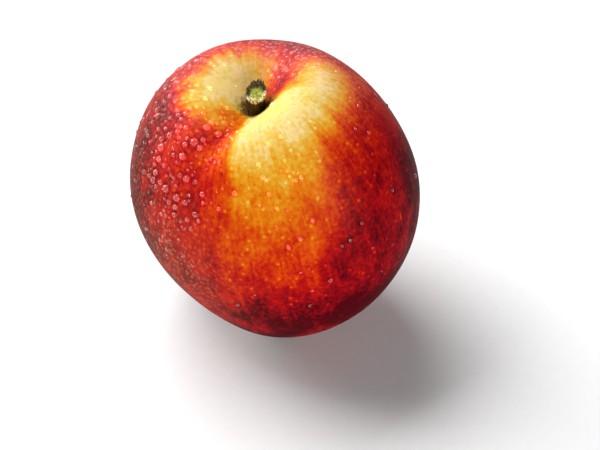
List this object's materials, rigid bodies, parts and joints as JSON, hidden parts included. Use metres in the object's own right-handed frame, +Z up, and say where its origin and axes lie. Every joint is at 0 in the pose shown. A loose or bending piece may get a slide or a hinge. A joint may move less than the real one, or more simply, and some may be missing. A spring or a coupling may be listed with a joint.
{
  "type": "nectarine",
  "caption": "Whole ripe nectarine resting on a small flat spot, with a deep stalk cavity, a suture groove down one side, a blossom dent below and a short stub of stalk.",
  "frame": {"origin": "on the small flat spot that the fruit rests on, within 2 mm of its middle", "axes": "+Z up, out of the table; the suture runs down the side between -X and -Y; the line from the blossom end to the stalk leans 10 degrees from +Z, mostly towards -X"},
  "size_m": [0.0669, 0.0674, 0.0676],
  "materials": {
    "skin": "smooth waxy fruit skin, orange-yellow ground under a red to crimson blush with pale pores",
    "stalk": "green-brown fibrous stalk stub with a brown collar"
  },
  "bodies": {
    "root": {"fruit": "skin", "stalk": "stalk"}
  },
  "joints": []
}
